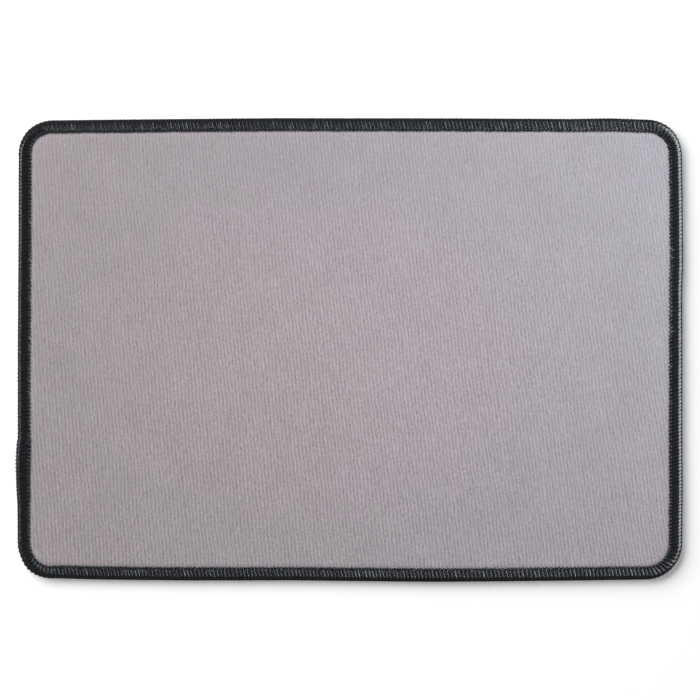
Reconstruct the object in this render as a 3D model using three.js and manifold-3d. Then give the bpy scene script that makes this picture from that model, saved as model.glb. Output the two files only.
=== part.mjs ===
// A mouse pad with an overlocked edge. Cloth is glued to a foam rubber sheet, and three sewing threads
// close the edge: a needle thread that goes down through the layers, and an upper and a lower looper
// thread that wrap the rim from the needle line and interlock half way up the outside.
// Millimetres, +Z up. The origin is at the middle of the rubber's underside, X runs along the long side.

import * as THREE from 'three';
import { mergeGeometries, mergeVertices } from 'three/addons/utils/BufferGeometryUtils.js';
import Module from 'manifold-3d';

// Outline over the sewn edge
const PAD_LENGTH = 260;
const PAD_WIDTH = 180;
const CORNER_RADIUS = 14.4;

// The glued sheet, away from the seam
const RUBBER_THICKNESS = 2.5;
const FILM_THICKNESS = 0.1;
const CLOTH_THICKNESS = 0.4;

// The seam: its width from the outside to the inner side of the needle thread, the thickness of a
// laid looper thread, how far it stands above the cloth and how far its underside clears the desk
const SEAM_WIDTH = 5.1;
const LOOPER_LAYER = 0.45;
const SEAM_PROUD = 0.25;
const DESK_CLEARANCE = 0.05;
const NEEDLE_THREAD = 0.45;
const STITCH_LENGTH = 1.47;
const STITCHES_PER_LEG = 12;

// Where the thread's tension lets the squeezed rim swell back to full thickness
const SQUEEZE_RAMP = 1.0;

// The lap on the left side, where the last stitches are sewn over the first
const LAP_LENGTH = 26;
const LAP_FROM_CORNER = 14.5;
const LAP_SWELL_OUT = 0.85;
const LAP_SWELL_UP = 0.3;
const LAP_SKEW = 0.6;

// Clearance between a thread and what it lies on
const FIT_GAP = 0.05;

// Fineness of the curves
const CORNER_STEPS = 10;
const LAP_STEPS = 12;
const RIM_STEP_ANGLE = Math.PI / 12;
const THREAD_SIDES = 8;
const LEG_SIDES = 4;
const LEAST_CORNER_RADIUS = 0.5;

// Heights of the seam and of the rim that it squeezes
const sheetThickness = RUBBER_THICKNESS + FILM_THICKNESS + CLOTH_THICKNESS;
const seamTop = sheetThickness + SEAM_PROUD;
const seamMiddle = (seamTop + DESK_CLEARANCE) / 2;
const seamRadius = (seamTop - DESK_CLEARANCE) / 2;
const rimInset = LOOPER_LAYER + FIT_GAP;
const rimRadius = seamRadius - rimInset;
const needleInset = SEAM_WIDTH - NEEDLE_THREAD / 2;
const looperReach = SEAM_WIDTH - NEEDLE_THREAD - FIT_GAP;
const squeezeInset = SEAM_WIDTH + FIT_GAP;
const flatInset = squeezeInset + SQUEEZE_RAMP;

// Each face between two layers lies flat over the pad and steps with the squeeze under the seam. The
// cloth and the film keep their thickness there, and the foam takes up the whole squeeze.
const clothTop = { flat: sheetThickness, squeezed: seamMiddle + rimRadius };
const clothUnder = {
  flat: clothTop.flat - CLOTH_THICKNESS,
  squeezed: clothTop.squeezed - CLOTH_THICKNESS,
};
const filmUnder = {
  flat: clothUnder.flat - FILM_THICKNESS,
  squeezed: clothUnder.squeezed - FILM_THICKNESS,
};
const rubberUnder = { flat: 0, squeezed: seamMiddle - rimRadius };

const wasm = await Module();
wasm.setup();

// Stations round the pad, anticlockwise from above. Each names its corner and its outward direction,
// and those on the lap add how far along the lap they lie.
function makeStations() {
  const corners = [[1, 1], [-1, 1], [-1, -1], [1, -1]];
  const stations = [];
  corners.forEach((corner, quarter) => {
    for (let step = 0; step <= CORNER_STEPS; step += 1) {
      const angle = (quarter + step / CORNER_STEPS) * (Math.PI / 2);
      stations.push({ corner, out: [Math.cos(angle), Math.sin(angle)], alongLap: 0, rise: 0 });
    }
    if (quarter === 1) {
      for (let step = 0; step <= LAP_STEPS; step += 1) {
        const alongLap = step / LAP_STEPS;
        const rise = LAP_FROM_CORNER + LAP_LENGTH * (1 - alongLap);
        stations.push({ corner: [-1, -1], out: [-1, 0], alongLap, rise });
      }
    }
  });
  return stations;
}

const stations = makeStations();

// Plan position of a station at a distance in from the outer edge
function planPoint(station, inset) {
  const radius = Math.max(CORNER_RADIUS - inset, LEAST_CORNER_RADIUS);
  const acrossX = PAD_LENGTH / 2 - inset - radius;
  const acrossY = PAD_WIDTH / 2 - inset - radius;
  const x = station.corner[0] * acrossX + station.out[0] * radius;
  const lift = station.rise > 0 ? station.rise + CORNER_RADIUS - inset - radius : 0;
  const y = station.corner[1] * acrossY + station.out[1] * radius + lift;
  return new THREE.Vector2(x, y);
}

// Swelling of the lap at a station, from 0 to 1
function lapSwell(station) {
  return Math.max(0, Math.sin(Math.PI * station.alongLap ** LAP_SKEW));
}

// Carries a section round the pad. Each point of the section has an inset and a height, and may have a
// swell that moves it on the lap. A ring's section closes on itself, and a sheet's is capped at both ends.
function carryRound(section, isRing) {
  const count = stations.length;
  const positions = [];
  const triangles = [];
  for (const point of section) {
    const [swellOut, swellUp] = point.swell ?? [0, 0];
    for (const station of stations) {
      const amount = lapSwell(station);
      const plan = planPoint(station, point.inset - swellOut * amount);
      positions.push(plan.x, plan.y, point.height + swellUp * amount);
    }
  }
  const rows = isRing ? section.length : section.length - 1;
  for (let row = 0; row < rows; row += 1) {
    const lower = row * count;
    const upper = ((row + 1) % section.length) * count;
    for (let column = 0; column < count; column += 1) {
      const next = (column + 1) % count;
      triangles.push(lower + column, lower + next, upper + next);
      triangles.push(lower + column, upper + next, upper + column);
    }
  }
  if (!isRing) {
    const last = (section.length - 1) * count;
    for (let column = 1; column < count - 1; column += 1) {
      triangles.push(0, column + 1, column);
      triangles.push(last, last + column, last + column + 1);
    }
  }
  const geometry = new THREE.BufferGeometry();
  geometry.setAttribute('position', new THREE.Float32BufferAttribute(positions, 3));
  geometry.setIndex(triangles);
  return geometry;
}

// Points of a quarter-round edge about the middle height, from one angle above the horizon to another
function edgeArc(radius, fromAngle, toAngle) {
  const points = [];
  const steps = Math.ceil(Math.abs(toAngle - fromAngle) / RIM_STEP_ANGLE);
  for (let step = 0; step <= steps; step += 1) {
    const angle = fromAngle + (toAngle - fromAngle) * (step / steps);
    points.push({
      inset: seamRadius - radius * Math.cos(angle),
      height: seamMiddle + radius * Math.sin(angle),
    });
  }
  return points;
}

// Angle at which a height meets the half-round rim
function rimAngle(height) {
  return Math.asin(THREE.MathUtils.clamp((height - seamMiddle) / rimRadius, -1, 1));
}

// One layer of the glued sheet, between the face under it and the face on top of it
function makeLayer(under, top) {
  const rim = edgeArc(rimRadius, rimAngle(under.squeezed), rimAngle(top.squeezed));
  const section = [
    { inset: flatInset, height: under.flat },
    { inset: squeezeInset, height: under.squeezed },
    ...rim,
    { inset: squeezeInset, height: top.squeezed },
    { inset: flatInset, height: top.flat },
  ];
  return carryRound(section, false);
}

// A looper thread's half of the seam, above (side 1) or below (side -1) the middle, in heights from the middle
function makeLooper(side) {
  const start = Math.asin(FIT_GAP / 2 / seamRadius);
  const outside = edgeArc(seamRadius, start, Math.PI / 2).map((point) => {
    const slope = (point.height - seamMiddle) / seamRadius;
    const outward = (seamRadius - point.inset) / seamRadius;
    return { ...point, swell: [LAP_SWELL_OUT * outward, side > 0 ? LAP_SWELL_UP * slope : 0] };
  });
  const insideRadius = seamRadius - LOOPER_LAYER;
  const inside = edgeArc(insideRadius, Math.PI / 2, Math.asin(FIT_GAP / 2 / insideRadius));
  const section = [
    ...outside,
    { inset: looperReach, height: seamTop },
    { inset: looperReach, height: seamMiddle + insideRadius },
    ...inside,
  ].map((point) => ({ ...point, height: side * (point.height - seamMiddle) }));
  return carryRound(side > 0 ? section : section.reverse(), true);
}

// The needle thread's run on top of the cloth, in heights from the seam's middle
const needleRunHeight = rimRadius + FIT_GAP + NEEDLE_THREAD / 2;
function makeNeedleRun() {
  const section = [];
  for (let side = 0; side < THREAD_SIDES; side += 1) {
    const angle = (side / THREAD_SIDES) * Math.PI * 2;
    section.push({
      inset: needleInset - (NEEDLE_THREAD / 2) * Math.cos(angle),
      height: needleRunHeight + (NEEDLE_THREAD / 2) * Math.sin(angle),
    });
  }
  return carryRound(section, true);
}

// Upright pins where the needle thread goes through the layers, one for every few stitches
function makeNeedlePins(diameter, bottom, top) {
  const line = new THREE.Shape(stations.map((station) => planPoint(station, needleInset)));
  line.closePath();
  const count = Math.round(line.getLength() / STITCH_LENGTH / STITCHES_PER_LEG);
  const places = line.getSpacedPoints(count).slice(0, count);
  const pins = places.map((place) => {
    const pin = new THREE.CylinderGeometry(diameter / 2, diameter / 2, top - bottom, LEG_SIDES);
    pin.rotateX(Math.PI / 2);
    pin.translate(place.x, place.y, (top + bottom) / 2);
    return pin;
  });
  return mergeGeometries(pins);
}

// A closed geometry as a solid that can be joined and cut
function toSolid(geometry) {
  const bare = geometry.clone();
  bare.deleteAttribute('normal');
  bare.deleteAttribute('uv');
  const welded = mergeVertices(bare, 1e-4);
  const vertProperties = Float32Array.from(welded.attributes.position.array);
  const triVerts = Uint32Array.from(welded.index.array);
  return new wasm.Manifold(new wasm.Mesh({ numProp: 3, vertProperties, triVerts }));
}

// A solid back as a geometry
function toGeometry(solid) {
  const mesh = solid.getMesh();
  const geometry = new THREE.BufferGeometry();
  geometry.setAttribute('position', new THREE.BufferAttribute(mesh.vertProperties, 3));
  geometry.setIndex(new THREE.BufferAttribute(mesh.triVerts, 1));
  return geometry;
}

function addPiece(group, name, geometry, color, roughness) {
  geometry.computeVertexNormals();
  const material = new THREE.MeshStandardMaterial({ color, roughness, metalness: 0 });
  const piece = new THREE.Mesh(geometry, material);
  piece.name = name;
  group.add(piece);
}

const pad = new THREE.Group();
pad.name = 'mouse_pad';

// The glued layers, each pierced where the needle thread goes through
const layers = new THREE.Group();
layers.name = 'glued_sheet';
pad.add(layers);
const holeSolid = toSolid(makeNeedlePins(NEEDLE_THREAD + 2 * FIT_GAP, -1, seamTop + 1));
const pierced = (under, top) => toGeometry(toSolid(makeLayer(under, top)).subtract(holeSolid));
addPiece(layers, 'rubber_base', pierced(rubberUnder, filmUnder), 0x26272a, 0.9);
addPiece(layers, 'bond_film', pierced(filmUnder, clothUnder), 0xd9d3c4, 0.5);
addPiece(layers, 'top_cloth', pierced(clothUnder, clothTop), 0xa8a1a5, 0.95);

// The seam's three threads, about its middle height
const seam = new THREE.Group();
seam.name = 'overlocked_edge';
seam.position.z = seamMiddle;
pad.add(seam);
const needleLegs = makeNeedlePins(NEEDLE_THREAD, -seamRadius, needleRunHeight);
const needleSolid = toSolid(makeNeedleRun()).add(toSolid(needleLegs));
addPiece(seam, 'needle_thread', toGeometry(needleSolid), 0x2c2f33, 0.6);
addPiece(seam, 'upper_looper_thread', makeLooper(1), 0x25282c, 0.55);
addPiece(seam, 'lower_looper_thread', makeLooper(-1), 0x25282c, 0.55);

export default pad;
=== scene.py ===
# %% [markdown]
# # A mouse pad with an overlocked edge
# The pad is a sheet of grey ribbed cloth glued to foam rubber. Three dark threads close its edge: an
# overlock machine trims the sheet and sews over the cut in one pass. The measured frame gives the true
# sizes. This script makes the cloth, the foam and every stitch, gives them their finishes, and lights them.

# %% Load the measured frame
import math

import bpy
import numpy as np
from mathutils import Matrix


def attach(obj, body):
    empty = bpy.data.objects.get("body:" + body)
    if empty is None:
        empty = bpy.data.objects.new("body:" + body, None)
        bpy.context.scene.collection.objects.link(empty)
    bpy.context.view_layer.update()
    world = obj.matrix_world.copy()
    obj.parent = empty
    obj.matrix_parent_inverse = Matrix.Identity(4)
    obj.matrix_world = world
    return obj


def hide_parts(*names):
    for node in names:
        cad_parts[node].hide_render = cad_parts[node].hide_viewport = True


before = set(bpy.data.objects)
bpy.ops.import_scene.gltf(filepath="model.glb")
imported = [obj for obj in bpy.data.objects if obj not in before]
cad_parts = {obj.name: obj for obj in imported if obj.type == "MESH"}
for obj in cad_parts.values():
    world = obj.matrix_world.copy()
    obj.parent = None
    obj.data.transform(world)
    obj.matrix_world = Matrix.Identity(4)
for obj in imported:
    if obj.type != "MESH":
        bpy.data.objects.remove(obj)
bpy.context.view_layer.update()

# %% [markdown]
# ## The camera
# The photograph looks straight down on the pad, which fills the width of a square frame. A camera close to
# the pad would hide the foot of its sides behind their top, so a long lens hangs well above the desk.

# %% Camera straight above the pad
MM = 0.001
SHEET = 3.0  # thickness of the whole pad, in mm
SENSOR = 36.0  # width of the camera's sensor, in mm
CAMERA_HEIGHT = 0.70
CAMERA_SHIFT = -0.17 * MM  # the pad lies a hair above the middle of the photograph
VIEW_WIDTH = 0.27365  # metres of the pad's top face across the image

camera_data = bpy.data.cameras.new("overhead_camera")
camera = bpy.data.objects.new("overhead_camera", camera_data)
bpy.context.scene.collection.objects.link(camera)
camera_data.sensor_width = SENSOR
camera_data.lens = SENSOR * (CAMERA_HEIGHT - SHEET * MM) / VIEW_WIDTH
camera.location = (0.0, CAMERA_SHIFT, CAMERA_HEIGHT)
bpy.context.scene.camera = camera
print("lens", round(camera_data.lens, 1), "mm")

# %% [markdown]
# ## The outline
# The pad is a rectangle with round corners, and the seam walks once round it and a little further. A plain
# rounded rectangle would do for a drawing, but a real pad is soft and cut by a moving knife: its sides bow
# out, the edge strays by a fraction of a millimetre, and it bulges on the left side, where the end of the
# seam is sewn over its beginning. So the outline is a function that adds all three.

# %% Sizes of the pad and its seam, in millimetres
PAD_LENGTH, PAD_WIDTH, CORNER_RADIUS = 260.0, 180.0, 14.4
GUIDE = 3.0  # the stitches are evenly spaced on a line this far in from the outer edge
STITCH = 1.467
SHORT_BOW, LONG_BOW = 0.22, 0.7  # how far the sides bulge in the middle
LAP_LENGTH, LAP_FROM_CORNER = 26.0, 14.5
LAP_OUT, LAP_UP, LAP_SKEW = 0.62, 0.17, 0.6  # how far the lap bulges out, how high, and how soon
LAP_FADE = 4.5  # the bulge has died away this far in from the outer edge
WANDER = {  # where the trimming knife strayed: share of the way along each part, and how far out
    "left": [(0.0, -0.16), (0.2, -0.24), (0.5, 0.0), (0.75, 0.05), (0.84, 0.3), (1.0, 0.25)],
    "lower_left": [(0.25, 0.15), (0.5, 0.45), (0.7, 0.25), (1.0, -0.3)],
    "bottom": [(0.08, 0.0), (0.22, 0.05), (0.4, -0.2), (0.55, 0.2), (0.65, 0.45), (1.0, 0.2)],
    "lower_right": [(0.5, 0.25)],
    "right": [(0.0, 0.2), (0.15, 0.25), (0.3, 0.05), (0.65, 0.0), (0.72, 0.35), (0.9, 0.25)],
    "upper_right": [(0.0, 0.05), (0.5, 0.47), (1.0, 0.2)],
    "top": [(0.06, 0.5), (0.13, 0.1), (0.5, 0.0), (0.62, 0.1), (0.75, -0.05), (1.0, -0.1)],
    "upper_left": [(0.25, 0.1), (0.5, 0.35), (0.75, 0.2)],
}
WALK = list(WANDER)  # down the left side, along the bottom, up the right side and back along the top
print("pad", PAD_LENGTH, "x", PAD_WIDTH, "x", SHEET, "mm, a walk of", len(WALK), "sides and corners")

# %% Walk round the outline
half_x, half_y = PAD_LENGTH / 2 - CORNER_RADIUS, PAD_WIDTH / 2 - CORNER_RADIUS
guide_radius = CORNER_RADIUS - GUIDE
corner_run = guide_radius * math.pi / 2
runs = np.cumsum([0.0] + [2 * half_y, corner_run, 2 * half_x, corner_run] * 2)
around = runs[-1]
seam_start = 2 * half_y - LAP_FROM_CORNER - LAP_LENGTH  # down the left side, where the lap begins
part_length = np.diff(runs)
part_bow = np.array([SHORT_BOW, 0, LONG_BOW, 0] * 2)
turn_x = np.array([-1, -1, -1, 1, 1, 1, 1, -1]) * half_x
turn_y = np.array([1, -1, -1, -1, -1, 1, 1, 1]) * half_y
wander_place = [runs[i] + share * part_length[i] for i, part in enumerate(WALK) for share, _ in WANDER[part]]
wander_out = [out for part in WALK for _, out in WANDER[part]]


def on_walk(along):
    """The place on the walk of a distance along the seam, and the number of the part that it is on."""
    place = np.mod(np.asarray(along, float) + seam_start, around)
    return place, np.clip(np.searchsorted(runs, place, side="right") - 1, 0, len(WALK) - 1)


def on_outline(along, inset):
    """Plan x and y in mm, at a distance along the guide line and a distance in from the outer edge."""
    place, part = on_walk(along)
    corner = part % 2 == 1
    run = place - runs[part]
    straight = np.where(corner, 0.0, run)
    angle = math.pi * (1 + part // 2 / 2) + np.where(corner, run / guide_radius, 0.0)
    from_middle = 2 * straight / part_length[part] - 1
    bow = np.where(corner, 0.0, part_bow[part] * (1 - from_middle**2))
    stray = np.interp(place, wander_place, wander_out, period=around)
    lap_share = np.clip(np.mod(along, around) / LAP_LENGTH, 0, 1)
    lap = LAP_OUT * np.sin(math.pi * lap_share**LAP_SKEW) * np.clip(1 - inset / LAP_FADE, 0, 1)
    reach = CORNER_RADIUS - inset + bow + stray + lap
    x = turn_x[part] - np.sin(angle) * straight + np.cos(angle) * reach
    y = turn_y[part] + np.cos(angle) * straight + np.sin(angle) * reach
    return x, y


stitch_count = int((around + LAP_LENGTH) / STITCH)
print("seam", round(around, 1), "mm round,", stitch_count, "stitches")

# %% [markdown]
# ## The seam's own coordinates
# A stitch is hard to draw round a rim, and easy on a flat ribbon: so far along the seam, so far across it,
# so high above the cloth. The ribbon is then wrapped over the pad's half-round rim and carried round the
# outline. On the ribbon, 0 across is the outermost line of the rim, plus is over the top and minus is under.

# %% Wrap the ribbon over the rim
SEAM_RADIUS, SEAM_MIDDLE = 1.6, 1.65  # of the half-round rim, and the height of its middle line
WRAP_RADIUS = 1.15  # from the rim's middle line to the underside of the laid thread


def over_rim(across, height):
    """How far in from the outer edge, and how high above the desk, a point of the ribbon comes to lie."""
    turn = np.clip(across / WRAP_RADIUS, -math.pi / 2, math.pi / 2)
    flat = np.abs(across - turn * WRAP_RADIUS)
    reach = WRAP_RADIUS + height
    return SEAM_RADIUS - reach * np.cos(turn) + flat, SEAM_MIDDLE + reach * np.sin(turn)


print("on top of the pad the ribbon lies", round(over_rim(GUIDE, 0.0)[1], 2), "mm above the desk")

# %% [markdown]
# ## A hand in the sewing
# No two stitches lie quite alike. One stitch could be copied all round, but the row would look printed, so
# each one gets a lean, a reach and a height of its own: a slow drift along the seam, as the cloth feeds
# faster or slower, and a small difference from one stitch to the next. The numbers come from a fixed seed,
# so the pad is the same on every run.

# %% Uneven stitches
LEAN = -0.55  # the inner end of a loop lags behind its outer end, in stitches
dice = np.random.default_rng(41)


def drift(spread, length):
    """Random values for all stitches, smoothed over some stitches."""
    weights = np.hanning(length + 2)[1:-1]
    raw = dice.normal(size=stitch_count + length)
    smooth = np.convolve(raw, weights / np.sqrt((weights**2).sum()), mode="valid")
    return spread * smooth[:stitch_count]


stitch_lean = LEAN + drift(0.07, 9) + drift(0.04, 1)
stitch_rise = drift(0.02, 5) + drift(0.02, 1)
stitch_reach = drift(0.05, 7) + drift(0.05, 1)
stitch_feed = np.cumsum(1 + drift(0.05, 45))
stitch_place = (stitch_feed - stitch_feed[0]) * (stitch_count - 1) / (stitch_feed[-1] - stitch_feed[0])
print("lean from", round(stitch_lean.min(), 2), "to", round(stitch_lean.max(), 2), "of a stitch")

# %% [markdown]
# ## How the stitches change round the pad
# The seam is a little wider along the bottom and the right side, where the needle ran further in, and
# narrower on the left. Each leg of a stitch lies tilted like a roof tile, and the tilt decides where the
# satin thread catches the light. A flat thread would shine all over or not at all, so the tilt is set here:
# steeper on the left than on the right, and steepest round the lower left corner.

# %% Reach and tilt round the pad
WIDER, WIDER_UNTIL = 0.3, 0.6  # mm at most, and the share of the seam that is wider
NARROWER_LEFT = 0.1
TILT, TILT_UP, TILT_RIGHT = 0.09, -0.005, -0.04  # rise per width, and its change towards two sides
TILT_SHORT_SIDES, SHORT_SIDE_RUN = 0.05, 6.0
TILT_LOWER_LEFT, LOWER_LEFT_RUN = 0.07, 10.0

seam_share = np.arange(stitch_count) / stitch_count
seam_x, seam_y = on_outline(stitch_place * STITCH, 0.0)
stitch_reach += WIDER * np.sin(math.pi * np.clip(seam_share / WIDER_UNTIL, 0, 1))
stitch_reach -= NARROWER_LEFT * (seam_x < -half_x)
stitch_tilt = TILT + TILT_UP * seam_y / half_y + TILT_RIGHT * seam_x / half_x + drift(0.02, 1)
on_short_side = np.clip((np.abs(seam_x) - half_x) / SHORT_SIDE_RUN, 0, 1)
stitch_tilt -= TILT_SHORT_SIDES * np.sign(seam_x) * on_short_side
past_left = np.clip((-seam_x - half_x) / LOWER_LEFT_RUN, 0, 1)
past_bottom = np.clip((-seam_y - half_y) / LOWER_LEFT_RUN, 0, 1)
stitch_tilt += TILT_LOWER_LEFT * past_left * past_bottom
print("tilt from", round(stitch_tilt.min(), 2), "to", round(stitch_tilt.max(), 2))

# %% [markdown]
# ## Where the ribbon gives way
# Round a corner the stitches fan out at the rim and crowd at their inner ends, so the seam swells there, and
# at the lap the last stitches climb over the first ones. Each corner could be sewn by hand as a piece of its
# own. Three small functions of the place on the ribbon do the same for every thread, and keep it unbroken.

# %% Corners and lap
SEAM_BAND = 5.2  # across the ribbon, from the rim to the inner side of the seam
CORNER_RISE = {  # how high the seam swells, and how far in: 1 is halfway across the band
    "lower_left": (0.45, 1.0),
    "lower_right": (0.08, 1.8),
    "upper_right": (0.25, 1.8),
    "upper_left": (0.2, 1.8),
}
CORNER_FADE = 9.0  # along the seam, from the middle of a corner


def fan_share(along, inset):
    """How much a corner crowds the seam at some inset: a thread keeps its width, so the ribbon must give."""
    _, part = on_walk(along)
    return np.where(part % 2 == 1, np.sqrt(guide_radius / (CORNER_RADIUS - inset)), 1.0)


def lap_lift(along, across):
    """The last stitches climb over the first ones, outward at the rim and upward on top."""
    share = np.clip((along - around) / LAP_LENGTH, 0, 1)
    turn = np.clip(across / WRAP_RADIUS, -math.pi / 2, 0)
    return LAP_UP * np.sin(math.pi * share**LAP_SKEW) * np.cos(turn)


def corner_swell(along, across):
    """How much rounder the seam is at a corner."""
    place, _ = on_walk(along)
    share = np.clip(across / SEAM_BAND, 0, 1)
    swell = 0.0
    for corner, (rise, inward) in CORNER_RISE.items():
        gap = place - runs[WALK.index(corner)] - corner_run / 2
        swell = swell + rise * np.exp(-((gap / CORNER_FADE) ** 2)) * np.sin(math.pi * share**inward)
    return swell


print("corners rise by up to", max(rise for rise, _ in CORNER_RISE.values()), "mm, the lap by", LAP_UP, "mm")

# %% [markdown]
# ## Laying a thread
# A sewing thread is one unbroken length, so each of the three is drawn as a single curve with a round
# section, stitch after stitch, on the flat ribbon. Single loops would be easier to copy, but their ends
# would show. A stitch is a short list of points: along (in stitches), across and up (in mm), and how far the
# loosely twisted thread spreads there. The curve becomes a mesh, whose rings are pressed flat where the
# thread spreads, tilted, and wrapped on the pad.

# %% Wrap a thread on the pad
DESK_GAP = 0.02  # mm, so that no thread goes into the desk


def wrap_on_pad(piece, flatness, tilt):
    """Presses the rings of a thread flat, tilts them, and carries the thread on to the pad."""
    mesh = piece.data
    ribbon = np.empty(len(mesh.vertices) * 3)
    mesh.vertices.foreach_get("co", ribbon)
    rings = ribbon.reshape(len(flatness), -1, 3)
    middle = rings.mean(axis=1, keepdims=True)
    offset = rings - middle
    offset[:, :, 2] *= flatness[:, None]
    offset[:, :, 2] -= tilt[:, None] * offset[:, :, 0]
    offset[:, :, 0] *= fan_share(middle[:, :, 0], over_rim(middle[:, :, 1], middle[:, :, 2])[0])
    rings[:] = middle + offset
    along, across, up = ribbon.reshape(-1, 3).T
    up = up + lap_lift(along, across) + corner_swell(along, across)
    inset, height = over_rim(across, up)
    height = np.maximum(height, DESK_GAP)
    x, y = on_outline(along, inset)
    mesh.vertices.foreach_set("co", (np.c_[x, y, height] * MM).ravel())
    mesh.update()


# %% Lay a thread, stitch after stitch
NEEDLE_LINE = 5.0  # across the ribbon, where the loops turn back
LAID_HEIGHT = 0.2  # what lies lower than this on the ribbon is held and rises less
FLATTER_INWARD = 0.12  # share by which a thread is pressed flatter, for each mm across


def stitch_path(stitch, tail):
    """All points of a thread on the ribbon: a loose tail, then the stitch repeated with its uneven places."""
    points = np.repeat(np.array(stitch, float)[None], stitch_count, axis=0)
    inward = np.clip(np.abs(points[:, :, 1]) / NEEDLE_LINE, 0, 1)
    points[:, :, 0] += stitch_place[:, None] + stitch_lean[:, None] * inward
    points[:, :, 1] += np.sign(points[:, :, 1]) * stitch_reach[:, None] * inward**4
    points[:, :, 2] += stitch_rise[:, None] * np.clip(points[:, :, 2] / LAID_HEIGHT, 0, 1)
    points = np.concatenate([np.array(tail, float).reshape(-1, 4), points.reshape(-1, 4)])
    points[:, 0] *= STITCH
    return points


def start_fresh():
    """Leaves edit mode and deselects everything, so that the next operator acts on nothing old."""
    if bpy.context.object and bpy.context.object.mode == "EDIT":
        bpy.ops.object.mode_set(mode="OBJECT")
    bpy.ops.object.select_all(action="DESELECT")


def lay_thread(name, stitch, half_width, flatness, tail=()):
    """Draws a thread as one curve on the ribbon, makes it a mesh, and wraps it on the pad."""
    points = stitch_path(stitch, tail)
    curve = bpy.data.curves.new(name, "CURVE")
    curve.dimensions = "3D"
    curve.bevel_depth = half_width
    curve.bevel_resolution = 2
    spline = curve.splines.new("POLY")
    spline.points.add(len(points) - 1)
    spline.points.foreach_set("co", np.c_[points[:, :3], np.ones(len(points))].ravel())
    spline.points.foreach_set("radius", points[:, 3].copy())
    thread = bpy.data.objects.new(name, curve)
    bpy.context.scene.collection.objects.link(thread)
    start_fresh()
    thread.select_set(True)
    bpy.context.view_layer.objects.active = thread
    bpy.ops.object.convert(target="MESH")
    pressed = flatness * (1 - FLATTER_INWARD * np.abs(points[:, 1])) / np.maximum(points[:, 3], 1.0) ** 2
    tilt = np.interp(points[:, 0] / STITCH, stitch_place, stitch_tilt)
    wrap_on_pad(thread, pressed, tilt)
    bpy.ops.object.mode_set(mode="EDIT")
    bpy.ops.mesh.select_all(action="SELECT")
    bpy.ops.mesh.fill_holes(sides=0)
    bpy.ops.mesh.normals_make_consistent(inside=False)
    bpy.ops.object.mode_set(mode="OBJECT")
    bpy.ops.object.shade_smooth()
    print(name, len(thread.data.polygons), "faces")
    return thread


# %% [markdown]
# ## The looper threads
# The upper looper thread starts at the rim, runs in to the needle line flat on the cloth, turns round the
# needle thread there and comes back beside its first leg, half on top of it. At the rim it draws together
# into a narrow strand, which leaves a small hole at each stitch, and hooks into the lower thread. The lower
# thread could be drawn by itself, but it is the same stitch turned over, a little further along.

# %% Upper looper thread
LOOPER_HALF_WIDTH, LOOPER_FLATNESS = 0.36, 0.24

upper_stitch = [
    # up the rim, drawn together into one strand
    (0.00, 0.05, 0.30, 0.42), (-0.03, 0.45, 0.44, 0.44), (-0.04, 0.94, 0.28, 0.46),
    # in to the needle line, spread flat on the cloth
    (0.03, 1.34, 0.06, 1.20), (0.08, 1.74, 0.11, 1.40), (0.09, 2.25, 0.18, 1.35), (0.06, 4.00, 0.12, 1.25),
    # round the needle thread
    (0.08, 4.72, 0.12, 1.10), (0.20, 4.96, 0.18, 0.90), (0.36, 4.74, 0.22, 1.25),
    # back out, half on top of the first leg
    (0.46, 4.10, 0.30, 1.40), (0.53, 2.75, 0.38, 1.45), (0.56, 2.20, 0.36, 1.48), (0.58, 1.75, 0.29, 1.48),
    # drawn together again, down the rim and under the lower thread
    (0.60, 1.37, 0.21, 1.35), (0.76, 1.03, 0.27, 0.50), (0.81, 0.48, 0.45, 0.44), (0.82, 0.05, 0.33, 0.42),
    (0.91, -0.10, 0.31, 0.55),
]
upper_loops = lay_thread("upper_loops", upper_stitch, LOOPER_HALF_WIDTH, LOOPER_FLATNESS)

# %% Lower looper thread
LOWER_LAG = 0.04  # in stitches

lower_stitch = [(along + LOWER_LAG, -across, up, spread) for along, across, up, spread in upper_stitch]
lower_loops = lay_thread("lower_loops", lower_stitch, LOOPER_HALF_WIDTH, LOOPER_FLATNESS)

# %% [markdown]
# ## The needle thread
# The needle thread lies in short slanting dashes along the inner side of the seam, over the tips of the
# looper's loops. A row of separate dashes would look the same from above. Drawn as one thread, it goes down
# between two dashes through cloth, film and foam to the underside, where it holds the lower looper's loop,
# and comes up again through the same hole. Its loose end shows as a small curl where the seam begins.

# %% Needle thread
NEEDLE_HALF_WIDTH, NEEDLE_FLATNESS = 0.27, 1.2

needle_stitch = [
    # up through the hole
    (0.00, 4.92, -2.50, 0.8), (0.02, 4.84, -0.60, 0.8), (0.06, 4.62, 0.20, 0.9),
    # the dash that shows
    (0.16, 4.62, 0.44, 1.1), (0.42, 4.83, 0.54, 1.2), (0.70, 5.15, 0.50, 1.2), (0.90, 5.38, 0.32, 1.1),
    # down through the next hole
    (0.97, 5.34, 0.08, 0.9), (0.98, 5.06, -0.60, 0.8), (0.99, 4.94, -2.50, 0.8),
]
loose_end = [
    (1.00, 4.95, 0.50, 0.9), (1.25, 4.70, 0.68, 0.9), (1.30, 4.25, 0.72, 0.9), (1.05, 3.95, 0.72, 0.9),
    (0.70, 4.00, 0.70, 0.9), (0.45, 4.35, 0.64, 0.9), (0.40, 4.75, 0.50, 0.9), (0.20, 5.05, 0.10, 0.9),
]
needle_dashes = lay_thread(
    "needle_dashes", needle_stitch, NEEDLE_HALF_WIDTH, NEEDLE_FLATNESS, tail=loose_end
)

# %% [markdown]
# ## The foam base
# The base is one slab of foam rubber, squeezed thinner where the threads hold it. A bevelled box would have
# a plain round rim, so a long grid is laid out instead, one row of points for each line of the squeezed
# section. Carried round the outline it makes the rim, and its two inner loops are filled with flat faces:
# the top and the underside.


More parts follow.
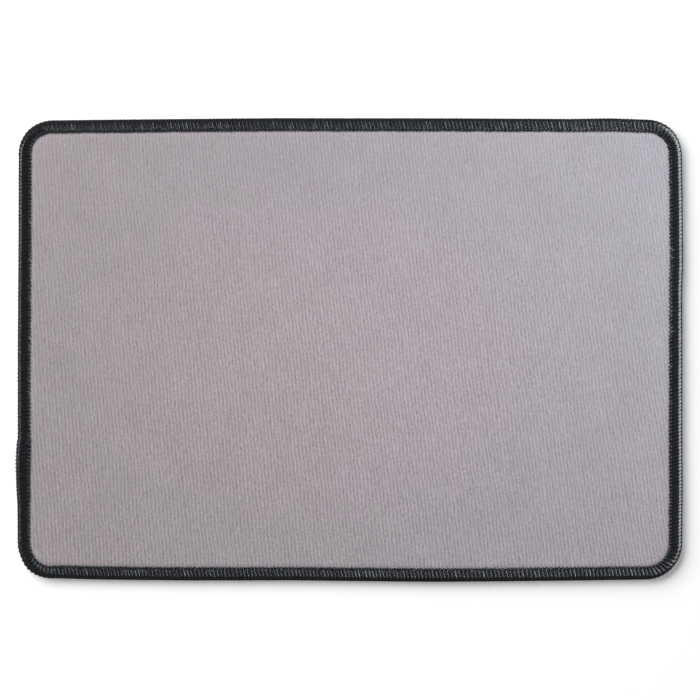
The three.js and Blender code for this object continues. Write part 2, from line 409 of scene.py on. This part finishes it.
# %% Rings made from a long grid
def long_grid(name, columns, rows):
    """A grid with a row for each pair of inset and height. Returns it with its points' places in mm."""
    start_fresh()
    bpy.ops.mesh.primitive_grid_add(x_subdivisions=columns, y_subdivisions=len(rows) - 1, size=1.0)
    piece = bpy.context.object
    piece.name = piece.data.name = name
    grid = np.empty(len(piece.data.vertices) * 3)
    piece.data.vertices.foreach_get("co", grid)
    share_along, share_across, _ = (grid.reshape(-1, 3) + 0.5).T
    shares = np.linspace(0, 1, len(rows))
    inset, height = (np.interp(share_across, shares, values) for values in zip(*rows))
    return piece, share_along * around, inset, height


def close_ring(piece, along, inset, height, filled):
    """Carries a long grid round the outline, joins its ends, and fills its loops above a height."""
    x, y = on_outline(along, inset)
    piece.data.vertices.foreach_set("co", (np.c_[x, y, height] * MM).ravel())
    piece.data.update()
    bpy.ops.object.mode_set(mode="EDIT")
    bpy.ops.mesh.select_all(action="SELECT")
    bpy.ops.mesh.remove_doubles(threshold=0.01 * MM)
    bpy.ops.mesh.select_mode(type="EDGE")
    bpy.ops.mesh.select_all(action="DESELECT")
    bpy.ops.mesh.select_non_manifold()
    bpy.ops.object.mode_set(mode="OBJECT")
    for edge in piece.data.edges:
        edge.select = edge.select and piece.data.vertices[edge.vertices[0]].co.z >= filled * MM
    bpy.ops.object.mode_set(mode="EDIT")
    bpy.ops.mesh.fill_holes(sides=0)
    bpy.ops.mesh.select_all(action="SELECT")
    bpy.ops.mesh.normals_make_consistent(inside=False)
    bpy.ops.object.mode_set(mode="OBJECT")


# %% Foam slab with a squeezed rim
FOAM = 2.5
FOAM_ROWS = [  # inset and height in mm, from the underside round the rim to the top
    (6.15, 0.0), (5.15, 0.5), (1.2, 0.5), (0.6, 0.62), (0.2, 0.95), (0.07, 1.4), (0.2, 1.85), (0.6, 2.15),
    (1.2, 2.25), (5.15, 2.25), (6.15, FOAM),
]
rim_columns = int(round(around / STITCH))

foam_base, along, inset, height = long_grid("foam_base", rim_columns, FOAM_ROWS)
close_ring(foam_base, along, inset, height, filled=0.0)
bpy.ops.object.shade_smooth_by_angle(angle=math.radians(40))
print("foam_base", len(foam_base.data.polygons), "faces, up to", round(height.max(), 2), "mm")

# %% [markdown]
# ## The cloth
# The cloth lies flat on the foam and dives under the seam. Each needle hole draws it down, so it puckers
# along the stitch line. A flat plate would miss both, so its edge is a long grid too. The inner loop of the
# grid is filled with one flat face, and Solidify gives the sheet its thickness.

# %% Cloth with a puckered edge
CLOTH = 0.4
CLOTH_ROWS = [1.5, 1.9, 2.6, 3.8, 4.5, 4.9, 5.2, 5.5, 5.9, 6.4, 7.2, 8.4]  # insets, in mm
COLUMNS_PER_STITCH = 4
DIVE, DIVE_FROM, DIVE_RUN = 0.25, 4.9, 1.7  # how deep the cloth dives, and where it starts to rise again
PUCKER, PUCKER_WIDTH = 0.16, 0.45

rows = [(inset, SHEET) for inset in CLOTH_ROWS]
top_cloth, along, inset, height = long_grid("ribbed_cloth", rim_columns * COLUMNS_PER_STITCH, rows)
lift = np.clip((inset - DIVE_FROM) / DIVE_RUN, 0, 1)
height -= DIVE * (1 - lift**2 * (3 - 2 * lift))
stitch_here = np.interp(along / STITCH, stitch_place, np.arange(stitch_count))
pull = 0.5 + 0.5 * np.cos(2 * math.pi * stitch_here)
height -= PUCKER * (pull - 0.35) * np.exp(-(((inset - NEEDLE_LINE) / PUCKER_WIDTH) ** 2))
close_ring(top_cloth, along, inset, height, filled=SHEET - 0.05)
thickness = top_cloth.modifiers.new("thickness", "SOLIDIFY")
thickness.thickness = CLOTH * MM
thickness.offset = -1.0
bpy.ops.object.modifier_apply(modifier="thickness")
bpy.ops.object.shade_smooth_by_angle(angle=math.radians(50))
print("ribbed_cloth", len(top_cloth.data.polygons), "faces")

# %% [markdown]
# ## Finishes
# The finishes are node trees. They could be wired by hand in the shader editor, node by node. Here a small
# class lets Python sums stand for Math nodes, so a pattern reads as a formula, and every other node is added
# by one method that takes its type, its settings and its inputs.


# %% Sums on sockets
class Wire:
    """An output socket that takes part in sums."""

    def __init__(self, nodes, socket):
        self.nodes, self.socket = nodes, socket

    def sum(self, operation, *values):
        return self.nodes.add("Math", {"operation": operation}, dict(enumerate(values)))[0]

    def __add__(self, other):
        return self.sum("ADD", self, other)

    def __sub__(self, other):
        return self.sum("SUBTRACT", self, other)

    def __rsub__(self, other):
        return self.sum("SUBTRACT", other, self)

    def __mul__(self, other):
        return self.sum("MULTIPLY", self, other)

    def sine(self):
        return self.sum("SINE", self)

    def clamp(self, low, high):
        return self.nodes.add("Clamp", {}, {0: self, 1: low, 2: high})[0]

    __radd__, __rmul__ = __add__, __mul__


# %% A tree of nodes
class Nodes:
    """A node tree, with the one method that adds a node to it."""

    def __init__(self, tree):
        self.tree = tree

    def add(self, kind, settings, inputs):
        made = self.tree.nodes.new("ShaderNode" + kind)
        for name, value in settings.items():
            setattr(made, name, value)
        for key, value in inputs.items():
            self.put(made.inputs[key], value)
        return [Wire(self, socket) for socket in made.outputs]

    def put(self, socket, value):
        if isinstance(value, Wire):
            self.tree.links.new(value.socket, socket)
        else:
            socket.default_value = value

    def seen(self):
        """1 for what the camera sees, straight, mirrored or through glass, and 0 for plain light."""
        path = self.add("LightPath", {}, {})
        return (path[0] + path[3] + path[6]).clamp(0.0, 1.0)

    def place(self):
        return self.add("TexCoord", {}, {})[3]

    def turned(self, place, angle, scale):
        return self.add("Mapping", {}, {"Vector": place, "Rotation": (0, 0, angle), "Scale": scale})[0]

    def apart(self, vector):
        return self.add("SeparateXYZ", {}, {0: vector})

    def noise(self, place, scale, detail=2.0):
        return self.add("TexNoise", {}, {"Vector": place, "Scale": scale, "Detail": detail})[0]

    def blend(self, share, first, second):
        return self.add("Mix", {"data_type": "RGBA"}, {0: share, 6: first, 7: second})[2]


# %% A finish and its colours
class Finish(Nodes):
    """One material: a Principled surface and the nodes that feed it."""

    def __init__(self, name, **constants):
        self.material = bpy.data.materials.new(name)
        self.material.use_nodes = True
        super().__init__(self.material.node_tree)
        self.surface = self.tree.nodes["Principled BSDF"]
        for socket, value in constants.items():
            self.feed(socket.replace("_", " "), value)

    def feed(self, socket, value):
        self.put(self.surface.inputs[socket], value)

    def bump(self, height, depth, strength=1.0):
        inputs = {"Strength": strength, "Distance": depth, "Filter Width": 0.002, "Height": height}
        self.feed("Normal", self.add("Bump", {}, inputs)[0])

    def put_on(self, *pieces):
        for piece in pieces:
            piece.data.materials.clear()
            piece.data.materials.append(self.material)
        print(self.material.name, "with", len(self.tree.nodes), "nodes, on", len(pieces), "piece(s)")


def grey(red, green, blue):
    """A colour as a screen shows it, 0 to 255, for a shader."""
    parts = [value / 255 for value in (red, green, blue)]
    return [v / 12.92 if v <= 0.04045 else ((v + 0.055) / 1.055) ** 2.4 for v in parts] + [1.0]


# %% [markdown]
# ## Ribbed polyester cloth
# The cloth is a matte warm grey with fine ribs, 1.4 mm apart, that lean a little from the pad's short
# side. A Wave texture would print them as even lines. Real ribs are broken into short dashes, and their lean
# grows towards one end, as in stretched cloth, so they are a sine whose place is bent. Colour and bump
# follow the same rib, over a finer grain of yarns. The weave shows best in the middle and least along the
# top. Light is also painted into the colour: the cloth is painted lighter towards the upper right and darker
# towards the lower left, and warm light is painted on the middle.

# %% Cloth weave
RIB = 1.395 * MM
RIB_LEAN = math.radians(6.3)
RIB_SLOPE, RIB_FAN = 0.11, 0.33  # the same lean as a slope, and how it grows for each metre to the right

cloth_finish = Finish("ribbed_cloth", Roughness=0.95, Specular_IOR_Level=0.15, Sheen_Weight=0.06)
place = cloth_finish.place()
x, y, _ = cloth_finish.apart(place)


def along_ribs(width, length):
    """Noise in blots of some width across the ribs and some length along them, in mm."""
    stretched = cloth_finish.turned(place, RIB_LEAN, (1 / (width * MM), 1 / (length * MM), 1.0))
    return cloth_finish.noise(stretched, 1.0, 1.0)


slow_bend = cloth_finish.noise(place, 28.0, 1.0)
leaning = x + y * (RIB_SLOPE + RIB_FAN * x) + slow_bend * (2.0 * MM) + along_ribs(3.0, 5.0) * (0.8 * MM)
rib = (leaning * (2 * math.pi / RIB)).sine()
dashes = ((along_ribs(1.4, 2.6) - 0.28) * 2.4).clamp(0.15, 1.0)
rib_here = rib * dashes
yarn = cloth_finish.noise(place, 1500.0, 1.0)
print("ribs", round(RIB / MM, 3), "mm apart")

# %% Cloth colour
PAINTED_WARM_LENGTH, PAINTED_WARM_WIDTH = 0.11, 0.075  # half the length and width of the middle, where warm light is painted and the weave is stronger, in metres

middle = (1.0 - x * x * (1 / PAINTED_WARM_LENGTH**2) - y * y * (1 / PAINTED_WARM_WIDTH**2)).clamp(0.0, 1.0)
contrast = 0.78 + middle * 0.36 - y * 1.6
weave = (rib_here * 0.36 + (yarn - 0.5) * 0.95) * contrast
patch = cloth_finish.noise(place, 70.0, 2.0)
# The x and y terms are painted light: the cloth is painted lighter towards the upper right and darker towards
# the lower left.
weave_and_painted_light = 0.5 + weave + (patch - 0.5) * 0.2 + x * 0.3 + y * 0.5
tone = cloth_finish.blend(weave_and_painted_light.clamp(0.0, 1.0), grey(132, 125, 129), grey(184, 176, 180))
tint = cloth_finish.noise(place, 110.0, 1.0)
tone = cloth_finish.blend((tint - 0.5).clamp(0.0, 0.06), tone, grey(150, 158, 154))
# Painted warm light: the middle of the cloth is tinted pink, as a warm light would tint it.
tone = cloth_finish.blend(middle * 0.105, tone, grey(212, 174, 182))
cloth_finish.feed("Base Color", tone)
cloth_finish.bump(rib_here * 0.5 + yarn * 0.5, 0.06 * MM, 0.9)
cloth_finish.put_on(top_cloth)

# %% [markdown]
# ## Polyester thread
# The thread is nearly black and shines like satin, because its fibres lie side by side. Fibres modelled one
# by one would be far too many faces. The map that came with the curve runs along the thread and round it, so
# a slanting stripe on that map, as a bump, is the twist of the fibres.

# %% Thread finish
FIBRES_ROUND = 40
TWIST = 0.1  # turn of the fibres in radians, for each point of the thread


def thread_look(name, points_per_stitch, roughness, shine, pieces):
    """Dark satin thread with fine fibres that run round it in a slant."""
    finish = Finish(name, Specular_IOR_Level=shine)
    run, ring, _ = finish.apart(finish.add("UVMap", {"uv_map": "UVMap"}, {})[0])
    fibre = (ring * (2 * math.pi * FIBRES_ROUND) + run * (stitch_count * points_per_stitch * TWIST)).sine()
    fleck = finish.noise(finish.place(), 420.0, 2.0)
    wear = finish.noise(finish.place(), 900.0, 1.0)
    tone = finish.blend((fleck + fibre * 0.12).clamp(0.0, 1.0), grey(10, 11, 13), grey(28, 31, 36))
    finish.feed("Base Color", tone)
    finish.feed("Roughness", roughness + wear * 0.07)
    finish.bump((fibre + 0.7).clamp(-0.3, 0.0), 0.012 * MM, 0.5)
    finish.put_on(*pieces)


looper_threads = [upper_loops, lower_loops]
thread_look("edge_thread", len(upper_stitch), roughness=0.18, shine=0.12, pieces=looper_threads)
thread_look("needle_thread", len(needle_stitch), roughness=0.3, shine=0.055, pieces=[needle_dashes])

# %% [markdown]
# ## Foam rubber
# The underside is dull dark foam with a waffle of small dimples that grips the desk. The sides show only
# between the threads. The dimples could be modelled, but they are shallow and lie face down, so colour and
# bump draw them: two crossed sines make the waffle, and a fine noise the pores.

# %% Rubber finish
WAFFLE = 6.0 * MM

foam_finish = Finish("foam_rubber", Roughness=0.88, Specular_IOR_Level=0.1)
place = foam_finish.place()
x, y, _ = foam_finish.apart(place)
waffle = ((x + y) * (2 * math.pi / WAFFLE)).sine() * ((x - y) * (2 * math.pi / WAFFLE)).sine()
pores = foam_finish.noise(place, 2600.0, 2.0)
pitted = (0.1 + pores * 0.6 + waffle * 0.3).clamp(0.0, 1.0)
foam_finish.feed("Base Color", foam_finish.blend(pitted, grey(12, 12, 13), grey(40, 41, 43)))
foam_finish.bump(waffle * 0.6 + pores * 0.4, 0.12 * MM, 0.9)
foam_finish.put_on(foam_base)

# %% [markdown]
# ## Glue film
# The hot-melt film between cloth and foam is dark and a little cloudy. It never shows on a whole pad, so it
# needs no new shape: the measured solid stays and gets a finish only.

# %% Film finish
film_finish = Finish("glue_film", Roughness=0.45)
cloud = film_finish.noise(film_finish.place(), 300.0, 2.0)
film_finish.feed("Base Color", film_finish.blend(cloud, grey(36, 35, 34), grey(54, 52, 50)))
film_finish.put_on(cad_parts["bond_film"])

# %% [markdown]
# ## Floor
# The pad lies on white paper. Light alone could make it white, but would wash out the pad's soft shadow to
# the right and below. So the paper is a little brighter to the camera than its light makes it, which gives
# the white ground, and it keeps the shadow.

# %% White floor
PAPER_GLOW = 0.25

start_fresh()
bpy.ops.mesh.primitive_plane_add(size=8.0, location=(0, 0, 0))
floor = bpy.context.object
floor.name = "floor"
paper = Finish("white_paper", Base_Color=grey(248, 252, 254), Roughness=1.0, Specular_IOR_Level=0.0)
paper.feed("Emission Color", paper.blend(paper.seen(), (0, 0, 0, 1), (1, 1, 1, 1)))
paper.feed("Emission Strength", PAPER_GLOW)
paper.put_on(floor)

# %% [markdown]
# ## Light
# A broad lamp from the upper left, the key, gives the soft shadow. A small fill close by on the right
# brightens that side of the cloth. Dark satin shows little but what it mirrors, and a lamp strong enough for
# the threads would bleach the cloth. So bright cards stand round the pad for the threads alone to mirror: the
# right one makes the light strokes along the sides, the left one the glint of the left edge, and the third
# one lights the needle stitches.

# %% Lamps
LAMPS = {  # azimuth and elevation in degrees, distance, width and height in metres, power, colour
    "key": (137, 30, 3.0, 4.4, 2.1, 199.0, (1.0, 0.97, 0.95)),
    "fill": (28, 40, 0.36, 0.25, 0.2, 0.62, (0.68, 0.85, 0.99)),
    "right_card": (17, 33.5, 1.5, 1.5, 1.22, 278.0, (0.9, 0.96, 1.0)),
    "left_card": (187, 37, 1.2, 0.2, 0.26, 14.5, (1.0, 0.92, 0.84)),
    "needle_card": (195, 38, 1.2, 0.5, 0.4, 32.0, (0.92, 0.97, 1.0)),
}


def area_lamp(name, azimuth, elevation, distance, width, height, power, colour):
    """A rectangular lamp that looks at the middle of the pad. Azimuth 0 is to the right, 90 is to the top."""
    data = bpy.data.lights.new(name, "AREA")
    data.shape, data.size, data.size_y = "RECTANGLE", width, height
    data.energy, data.color = power, colour
    lamp = bpy.data.objects.new(name, data)
    bpy.context.scene.collection.objects.link(lamp)
    a, e = math.radians(azimuth), math.radians(elevation)
    towards = (math.cos(a) * math.cos(e), math.sin(a) * math.cos(e), math.sin(e))
    lamp.location = [distance * v for v in towards]
    lamp.rotation_euler = (math.pi / 2 - e, 0, a + math.pi / 2)
    return lamp


key, fill, right_card, left_card, needle_card = (area_lamp(name, *values) for name, values in LAMPS.items())
for lamp in (key, fill):
    lamp.visible_glossy = False
for card in (right_card, left_card, needle_card):
    card.visible_diffuse = False
print(len(LAMPS), "lamps")


# %% What each lamp lights
def light_only(name, lamps, pieces):
    """Keeps some lamps off everything but some pieces."""
    lit = bpy.data.collections.new(name)
    for piece in pieces:
        lit.objects.link(piece)
    for lamp in lamps:
        lamp.light_linking.receiver_collection = lit
    print(name, [piece.name for piece in pieces])


threads = looper_threads + [needle_dashes]
light_only("lit_pad", [fill], [top_cloth, foam_base] + threads)
light_only("lit_threads", [right_card, left_card], threads)
light_only("lit_needle_thread", [needle_card], [needle_dashes])

# %% [markdown]
# ## The room
# A plain white world would light the pad from all sides and fill its shadow. This one is bright where the
# camera or a mirroring surface looks at it, and dim as a lamp.

# %% World
ROOM_LIGHT, ROOM_SEEN = 0.09, 0.76  # strength as a lamp, and how much more the camera sees

world = bpy.data.worlds.new("studio")
bpy.context.scene.world = world
world.use_nodes = True
sky = Nodes(world.node_tree)
sky.put(sky.tree.nodes["Background"].inputs["Color"], (1, 1, 1, 1))
sky.put(sky.tree.nodes["Background"].inputs["Strength"], sky.seen() * ROOM_SEEN + ROOM_LIGHT)
bpy.context.scene.view_settings.view_transform = "Standard"
print("room light", ROOM_LIGHT)

# %% [markdown]
# ## Hand over
# Each new piece is attached to the body it moves with, and the measured solid it stands for is hidden.

for piece, node, slot in (
    (top_cloth, "top_cloth", "cloth"),
    (foam_base, "rubber_base", "rubber"),
    (upper_loops, "upper_looper_thread", "edge_thread"),
    (lower_loops, "lower_looper_thread", "edge_thread"),
    (needle_dashes, "needle_thread", "edge_thread"),
):
    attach(piece, "root")
    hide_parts(node)
